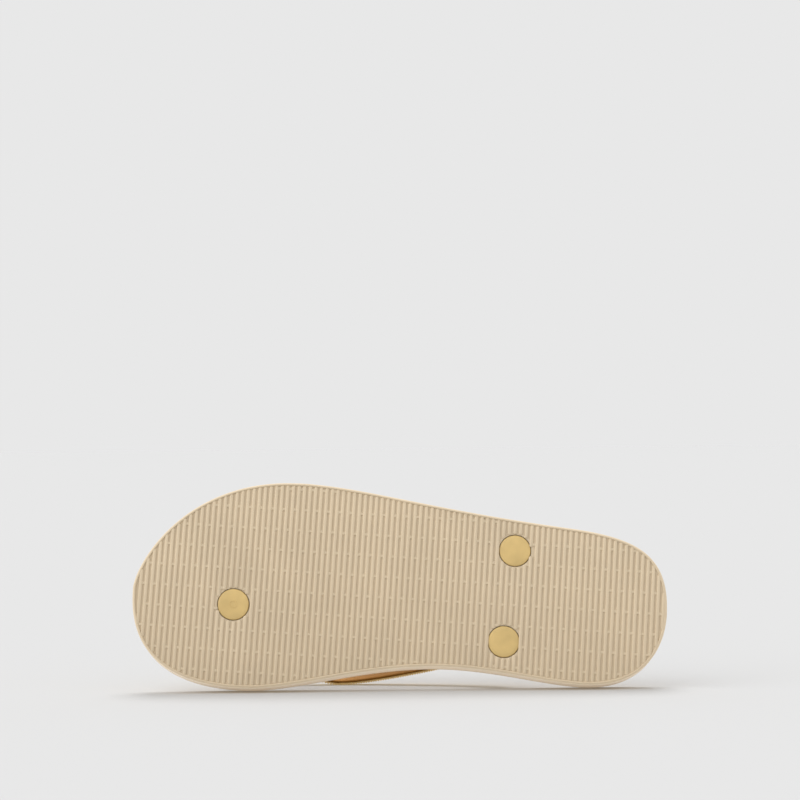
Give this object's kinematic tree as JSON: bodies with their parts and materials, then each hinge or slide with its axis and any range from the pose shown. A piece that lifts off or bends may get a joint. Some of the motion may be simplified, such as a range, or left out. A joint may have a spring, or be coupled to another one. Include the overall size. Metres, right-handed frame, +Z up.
{
  "type": "flip flop",
  "caption": "Left-foot flip flop with a reeded rubber tread, a flat layered sole and a slim Y strap held by round plugs sunk in the tread.",
  "frame": {"origin": "middle of the tread's bounding box, on the plane that the sole stands on", "axes": "+Z up out of the footbed, -Y towards the toe, +Y towards the heel, -X towards the inner side of the foot"},
  "size_m": [0.1, 0.255, 0.0459],
  "materials": {
    "tread_rubber": "matt moulded rubber, sand",
    "midsole_foam": "matt cut foam rubber, sand",
    "footbed_rubber": "matt textured rubber, sand",
    "strap_rubber": "satin soft rubber, light gold"
  },
  "bodies": {
    "root": {"tread_outsole": "tread_rubber", "midsole": "midsole_foam", "footbed": "footbed_rubber", "toe_plug": "strap_rubber", "inner_plug": "strap_rubber", "outer_plug": "strap_rubber", "toe_post": "strap_rubber", "inner_strap_band": "strap_rubber", "outer_strap_band": "strap_rubber"}
  },
  "joints": []
}
